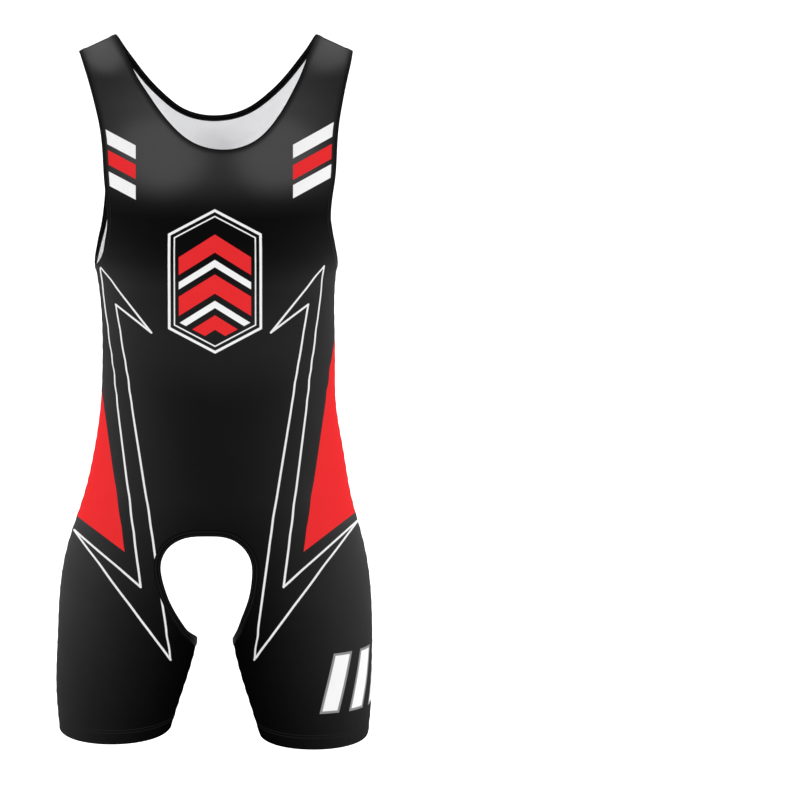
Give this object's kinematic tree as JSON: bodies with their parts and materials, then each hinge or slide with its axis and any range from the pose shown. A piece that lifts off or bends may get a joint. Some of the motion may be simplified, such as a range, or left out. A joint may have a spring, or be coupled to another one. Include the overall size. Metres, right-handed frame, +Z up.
{
  "type": "wrestling singlet",
  "caption": "Sleeveless one-piece wrestling singlet in stretch knit with scooped neck, deep armholes, thigh-length legs and a bound opening between the legs, filled out as worn.",
  "frame": {"origin": "midway between the undersides of the two shoulder straps, where the shoulders hold the garment up", "axes": "+Z up, -Y the front of the garment, +X the wearer's left"},
  "size_m": [0.3965, 0.2138, 0.8987],
  "materials": {
    "printed_knit": "smooth stretch knit with a soft sheen, printed black with red blocks and pale lines, unprinted pale grey inside",
    "edge_binding": "folded black stretch strip, coverstitched"
  },
  "bodies": {
    "root": {"front_panel": "printed_knit", "back_panel": "printed_knit", "neck_binding": "edge_binding", "armhole_binding_right": "edge_binding", "armhole_binding_left": "edge_binding", "opening_binding": "edge_binding"}
  },
  "joints": []
}
